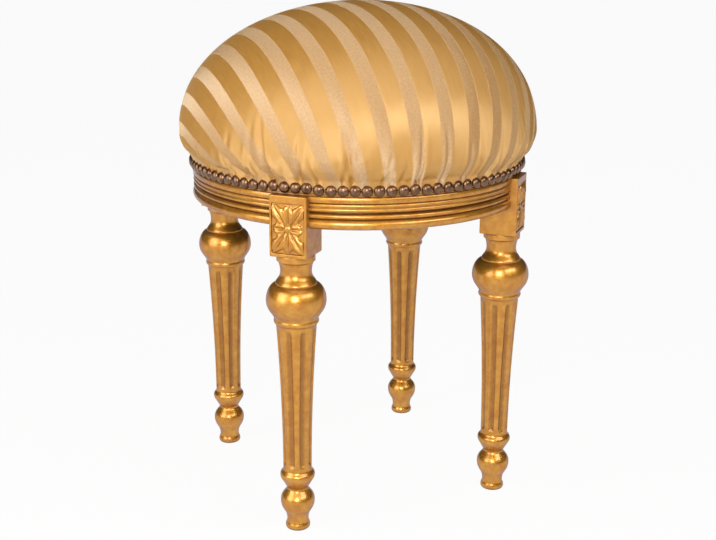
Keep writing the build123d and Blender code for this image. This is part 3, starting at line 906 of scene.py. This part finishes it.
def settle(piece, climb):
    """Inflates the skin as cloth over its filling, nailed at its edge and with spare cloth just above it.

    The pad under it holds its form, so each ring of the skin keeps its size and takes on only the folds.
    """
    start = skin_points(piece)
    normals = np.array([vertex.normal for vertex in piece.data.vertices])
    nailed = piece.vertex_groups.new(name="nailed")
    nailed.add([int(i) for i in np.flatnonzero(climb <= 0)], 1.0, "REPLACE")
    spare = piece.vertex_groups.new(name="spare")
    for index in np.flatnonzero(climb < GATHER_HEIGHT):
        spare.add([int(index)], float(np.clip(1 - climb[index] / GATHER_HEIGHT, 0, 1)), "REPLACE")
    cloth = piece.modifiers.new("cloth", "CLOTH")
    rules = cloth.settings
    rules.quality = 6
    rules.mass = 0.2
    rules.vertex_group_mass = "nailed"
    rules.vertex_group_shrink = "spare"
    rules.shrink_min = 0.0
    rules.shrink_max = -SPARE_CLOTH
    rules.tension_stiffness = 40
    rules.compression_stiffness = 40
    rules.shear_stiffness = 10
    rules.bending_stiffness = 0.1
    rules.use_pressure = True
    rules.uniform_pressure_force = CLOTH_PRESSURE
    rules.effector_weights.gravity = 0
    cloth.collision_settings.use_collision = False
    for step in range(1, CLOTH_FRAMES + 1):
        bpy.context.scene.frame_set(step)
    apply_modifiers(piece)
    bpy.context.scene.frame_set(1)
    outward = np.sum((skin_points(piece) - start) * normals, axis=1)
    ring = np.unique(np.round(climb / MERGE_REACH), return_inverse=True)[1]
    folds = outward - (np.bincount(ring, outward) / np.bincount(ring))[ring]
    folds = np.clip(folds, -CLOTH_CAP, CLOTH_CAP) * np.clip(1 - climb / GATHER_HEIGHT, 0, 1)
    place_skin(piece, start + normals * folds[:, None])
    piece.vertex_groups.clear()


side = np.array(dome_profile(0, COVER_FOOT, lower_steps=9, upper_steps=18))
side_length = np.concatenate([[0], np.cumsum(np.linalg.norm(np.diff(side, axis=0), axis=1))])
nail_line = np.interp(rail_top, side[:, 1], side_length)
cover = spun("satin_cover", [tuple(point) for point in side], COVER_STEPS)

skin = skin_points(cover)
climb = np.interp(skin[:, 2], side[:, 1], side_length)
angle = np.arctan2(skin[:, 1], skin[:, 0]) - STRIPE_TURN
cut = (side_length[-1] - climb)[:, None] * np.stack([np.cos(angle), np.sin(angle)], axis=1)
cut[:, 0] *= 1 + STRIPE_FAN * cut[:, 1]
corner_vertex = np.zeros(len(cover.data.loops), dtype=int)
cover.data.loops.foreach_get("vertex_index", corner_vertex)
cover.data.uv_layers.new(name="cut").data.foreach_set("uv", cut[corner_vertex].astype(np.float32).ravel())

skin = lean_crown(skin)
place_skin(cover, skin)
jitter = np.random.default_rng(CREASE_SEED).uniform(-0.3, 0.3, len(skin)) * MM * (climb > nail_line)
skin[:, :2] *= 1 + (jitter / seat_radius)[:, None]
place_skin(cover, skin)
settle(cover, climb - nail_line)
rounding = cover.modifiers.new("rounding", "SUBSURF")
rounding.levels = 2
rounding.render_levels = 2
apply_modifiers(cover)

skin = skin_points(cover)
normals = np.array([vertex.normal for vertex in cover.data.vertices])
angle = np.arctan2(skin[:, 1], skin[:, 0])
climb = np.interp(skin[:, 2], side[:, 1], side_length) - nail_line
place_skin(cover, skin + normals * creases(angle, climb)[:, None])
thicken(cover, COVER_THICKNESS, -1)
paint(cover, satin_stripe())
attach(cover, "root")
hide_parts("seat_cover")

# Decorative nails
# A close row of dome-headed brass nails, browned with acid and rubbed, that holds the cover's edge. They are
# driven by eye, so each stands a little off its place and tilts a little; over the blocks they sit higher.
NAIL_HEAD_RADIUS = 5.55 * MM
NAIL_HEAD_HEIGHT = 3.9 * MM
NAIL_SHANK_RADIUS = 0.8 * MM
NAIL_SHANK_LENGTH = 9 * MM
NAIL_LEVEL = 352.7 * MM
NAIL_LIFT = 1.1 * MM
NAIL_SEAT_RADIUS = 173.0 * MM
NAIL_PLAY = 0.4 * MM
NAIL_TILT = math.radians(5)
NAIL_WANDER = 0.0014
NAIL_SEED = 11


def antique_brass():
    """Brass browned with acid and rubbed back: dark brown and warm metal in random patches."""
    material, tree, shader = start_material("antique_brass")
    place = add_node(tree, "ShaderNodeTexCoord").outputs["Object"]
    patina = add_node(tree, "ShaderNodeTexNoise", {
        "Vector": place, "Scale": 1 / (5 * MM), "Detail": 4.0, "Roughness": 0.6,
    }).outputs["Fac"]
    tone = add_node(tree, "ShaderNodeMapRange", {
        "Value": patina, "From Min": 0.3, "From Max": 0.7,
    }).outputs["Result"]
    colour = add_node(tree, "ShaderNodeMix", {
        0: tone, 6: linear("#553620"), 7: linear("#8E6644"),
    }, data_type="RGBA").outputs[2]
    roughness = add_node(tree, "ShaderNodeMapRange", {
        "Value": patina, "From Min": 0.3, "From Max": 0.7, "To Min": 0.28, "To Max": 0.42,
    }).outputs["Result"]
    set_inputs(tree, shader, {
        "Base Color": colour, "Roughness": roughness, "Metallic": 1.0,
        "Coat Weight": 0.4, "Coat Roughness": 0.25, "Coat IOR": 1.7,
    })
    return material


def dome_nail():
    """One nail along +Z with the underside of its head at the origin."""
    bpy.ops.mesh.primitive_uv_sphere_add(segments=24, ring_count=16, radius=NAIL_HEAD_RADIUS)
    nail = bpy.context.object
    edit_all(nail)
    bpy.ops.mesh.bisect(plane_co=(0, 0, 0), plane_no=(0, 0, 1), use_fill=True, clear_inner=True)
    bpy.ops.mesh.inset(thickness=NAIL_HEAD_RADIUS - NAIL_SHANK_RADIUS)
    bpy.ops.mesh.extrude_region_move(TRANSFORM_OT_translate={"value": (0, 0, -NAIL_SHANK_LENGTH)})
    bpy.ops.object.mode_set(mode="OBJECT")
    for vertex in nail.data.vertices:
        if vertex.co.z > 0:
            vertex.co.z *= NAIL_HEAD_HEIGHT / NAIL_HEAD_RADIUS
    bpy.ops.object.shade_smooth_by_angle()
    return nail


pattern_nail = dome_nail()
block_half = (BLOCK_HALF_WIDTH + NAIL_HEAD_RADIUS / 2) / NAIL_SEAT_RADIUS
draw = random.Random(NAIL_SEED)
nails = []
for k in range(NAIL_COUNT):
    around = 2 * math.pi * (k + 0.5) / NAIL_COUNT
    from_leg = abs((around + math.pi / 4) % (math.pi / 2) - math.pi / 4)
    lift = NAIL_LIFT if from_leg < math.asin(block_half) else 0
    seat = Matrix.Translation((NAIL_SEAT_RADIUS, 0, NAIL_LEVEL + lift + draw.uniform(-NAIL_PLAY, NAIL_PLAY)))
    tilt = Matrix.Rotation(draw.uniform(-NAIL_TILT, NAIL_TILT), 4, "Y")
    slant = Matrix.Rotation(draw.uniform(-NAIL_TILT, NAIL_TILT), 4, "Z")
    turn = Matrix.Rotation(around + draw.uniform(-NAIL_WANDER, NAIL_WANDER), 4, "Z")
    nail = new_piece("nail", pattern_nail.data.copy())
    nail.data.transform(turn @ seat @ tilt @ slant @ Matrix.Rotation(math.radians(90), 4, "Y"))
    nails.append(nail)
bpy.data.objects.remove(pattern_nail)
nail_row = join(nails)
nail_row.name = "dome_nails"
paint(nail_row, antique_brass())
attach(nail_row, "root")
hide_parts("decorative_nails")

# Dust cover
# Black cambric under the seat, trimmed round the blocks and tacked to the underside of the rails. It is a
# thin, dull cotton that hangs a little in the middle; its fine weave is drawn coarser, so that it shows.
DUST_RADIUS = 162 * MM
DUST_SAG = 3.0 * MM
NOTCH_GAP = 0.5 * MM
NOTCH_HEIGHT = 20 * MM
CAMBRIC_YARN = 1.2 * MM

dust_low, dust_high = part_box("dust_cover")


def black_cambric():
    """Dyed cambric: a dull soot black with a fine plain weave, greyer in broad random patches."""
    material, tree, shader = start_material("black_cambric")
    place = add_node(tree, "ShaderNodeTexCoord").outputs["Object"]
    yarns = []
    for direction in ("X", "Y"):
        yarns.append(add_node(tree, "ShaderNodeTexWave", {
            "Vector": place, "Scale": 2 * math.pi / 20 / CAMBRIC_YARN, "Distortion": 0.4,
        }, bands_direction=direction).outputs["Fac"])
    weave = add_node(tree, "ShaderNodeMath", {0: yarns[0], 1: yarns[1]}, operation="MULTIPLY").outputs[0]
    fade = add_node(tree, "ShaderNodeTexNoise", {
        "Vector": place, "Scale": 1 / (40 * MM), "Detail": 4.0,
    }).outputs["Fac"]
    shade = add_node(tree, "ShaderNodeMath", {0: weave, 1: fade}, operation="MULTIPLY").outputs[0]
    colour = add_node(tree, "ShaderNodeMix", {
        0: shade, 6: linear("#0F0F10"), 7: linear("#3A3936"),
    }, data_type="RGBA").outputs[2]
    relief = add_node(tree, "ShaderNodeBump", {
        "Strength": 0.4, "Distance": 0.2 * MM, "Height": weave,
    }).outputs["Normal"]
    set_inputs(tree, shader, {"Base Color": colour, "Normal": relief, "Roughness": 0.9})
    return material


cambric = stretched_disc("cambric_underside", DUST_RADIUS, dust_low.z, dust_high.z - dust_low.z, DUST_SAG)
notch_depth = 2 * (DUST_RADIUS - BLOCK_BACK_RADIUS + NOTCH_GAP)
notch_width = 2 * (BLOCK_HALF_WIDTH + NOTCH_GAP)
for turn in range(4):
    bpy.ops.mesh.primitive_cube_add(size=1.0)
    notch = bpy.context.object
    notch.data.transform(Matrix.Diagonal((notch_depth, notch_width, NOTCH_HEIGHT, 1)))
    notch.data.transform(Matrix.Translation((DUST_RADIUS, 0, dust_low.z)))
    notch.data.transform(Matrix.Rotation(math.pi / 2 * turn, 4, "Z"))
    trim = cambric.modifiers.new("trim", "BOOLEAN")
    trim.object = notch
    trim.operation = "DIFFERENCE"
    apply_modifiers(cambric)
    bpy.data.objects.remove(notch)
paint(cambric, black_cambric())
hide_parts("dust_cover")

# Dust cover tacks
# The same blued tacks as the webbing's, six to a rail, with their heads on show under the seat.
paint(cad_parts["dust_cover_tacks"], steel)

# Floor
# A plain white sweep that the stool stands on; what the eye and the gold see of it is white, and it keeps
# the stool's shadow. From below it is clear, so that the underside of the stool can be looked at.
FLOOR_SIZE = 80.0
FLOOR_GLOW = 0.95

bpy.ops.object.select_all(action="DESELECT")
bpy.ops.mesh.primitive_plane_add(size=FLOOR_SIZE)
floor = bpy.context.object
floor.name = "white_floor"
floor_paint, tree, shader = start_material("white_floor_paint")
set_inputs(tree, shader, {"Base Color": linear("#EDEBE8"), "Roughness": 0.9, "Specular IOR Level": 0.0})
ray = add_node(tree, "ShaderNodeLightPath").outputs
seen = add_node(tree, "ShaderNodeMath", {
    0: ray["Is Camera Ray"], 1: ray["Is Glossy Ray"],
}, operation="MAXIMUM").outputs[0]
seen = add_node(tree, "ShaderNodeMath", {
    0: seen, 1: ray["Is Transmission Ray"],
}, operation="MAXIMUM").outputs[0]
share = add_node(tree, "ShaderNodeMath", {0: seen, 1: FLOOR_GLOW}, operation="MULTIPLY").outputs[0]
glow = add_node(tree, "ShaderNodeEmission", {"Strength": 1.0}).outputs[0]
both = add_node(tree, "ShaderNodeMixShader", {0: share, 1: shader.outputs[0], 2: glow}).outputs[0]
below = add_node(tree, "ShaderNodeNewGeometry").outputs["Backfacing"]
clear = add_node(tree, "ShaderNodeBsdfTransparent").outputs[0]
one_sided = add_node(tree, "ShaderNodeMixShader", {0: below, 1: both, 2: clear}).outputs[0]
tree.links.new(one_sided, tree.nodes["Material Output"].inputs["Surface"])
paint(floor, floor_paint)

# Light
# A soft lamp beside the camera, a wide one high on the right, a soft window low on the left, a soft ceiling
# and a dim room.
world = bpy.data.worlds.new("studio")
world.use_nodes = True
bpy.context.scene.world = world
world.node_tree.nodes["Background"].inputs["Color"].default_value = linear("#4C4C4C")


def soft_box(name, place, target, width, height, power):
    """A soft rectangular lamp that faces a target and isn't seen itself."""
    lamp = bpy.data.lights.new(name, "AREA")
    lamp.shape = "RECTANGLE"
    lamp.size = width
    lamp.size_y = height
    lamp.energy = power
    holder = bpy.data.objects.new(name, lamp)
    holder.location = place
    holder.rotation_euler = (Vector(target) - Vector(place)).to_track_quat("-Z", "Y").to_euler()
    holder.visible_camera = False
    bpy.context.scene.collection.objects.link(holder)


soft_box("beside_camera", (0.39, -1.31, 0.78), (0, 0, 0.36), 0.5, 0.6, 11)
soft_box("high_right", (1.10, -0.48, 1.00), (0, 0, 0.42), 1.0, 0.4, 7)
soft_box("left_window", (-0.78, -1.26, 0.84), (0, 0, 0.40), 0.9, 1.1, 13)
soft_box("ceiling", (0.20, -0.40, 1.90), (0, 0, 0.45), 1.2, 1.2, 5)

# Camera
# The place, tilt and lens that the photograph was taken with; the image is 716 by 540 pixels.
IMAGE_WIDTH = 716
IMAGE_HEIGHT = 540
FOCAL_PIXELS = 1157.0
OPTICAL_CENTRE = (356.6, 251.0)
CAMERA_DISTANCE = 1.2106
CAMERA_HEIGHT = 0.5803
CAMERA_AZIMUTH = math.radians(21.15)
CAMERA_PITCH = math.radians(15.31)
CAMERA_ROLL = math.radians(0.37)
SENSOR_WIDTH = 36.0

ahead = Vector((-math.sin(CAMERA_AZIMUTH), math.cos(CAMERA_AZIMUTH), 0))
aside = Vector((math.cos(CAMERA_AZIMUTH), math.sin(CAMERA_AZIMUTH), 0))
upwards = Vector((0, 0, 1))
view_line = ahead * math.cos(CAMERA_PITCH) - upwards * math.sin(CAMERA_PITCH)
view_up = ahead * math.sin(CAMERA_PITCH) + upwards * math.cos(CAMERA_PITCH)
image_right = aside * math.cos(CAMERA_ROLL) + view_up * math.sin(CAMERA_ROLL)
image_up = view_up * math.cos(CAMERA_ROLL) - aside * math.sin(CAMERA_ROLL)
lens = bpy.data.cameras.new("camera")
lens.sensor_width = SENSOR_WIDTH
lens.lens = FOCAL_PIXELS * SENSOR_WIDTH / IMAGE_WIDTH
lens.shift_x = (IMAGE_WIDTH / 2 - OPTICAL_CENTRE[0]) / IMAGE_WIDTH
lens.shift_y = (OPTICAL_CENTRE[1] - IMAGE_HEIGHT / 2) / IMAGE_WIDTH
camera = bpy.data.objects.new("camera", lens)
bpy.context.scene.collection.objects.link(camera)
stand = Matrix((image_right, image_up, -view_line)).transposed().to_4x4()
stand.translation = -ahead * CAMERA_DISTANCE + upwards * CAMERA_HEIGHT
camera.matrix_world = stand
bpy.context.scene.camera = camera
bpy.context.scene.view_settings.view_transform = "Standard"
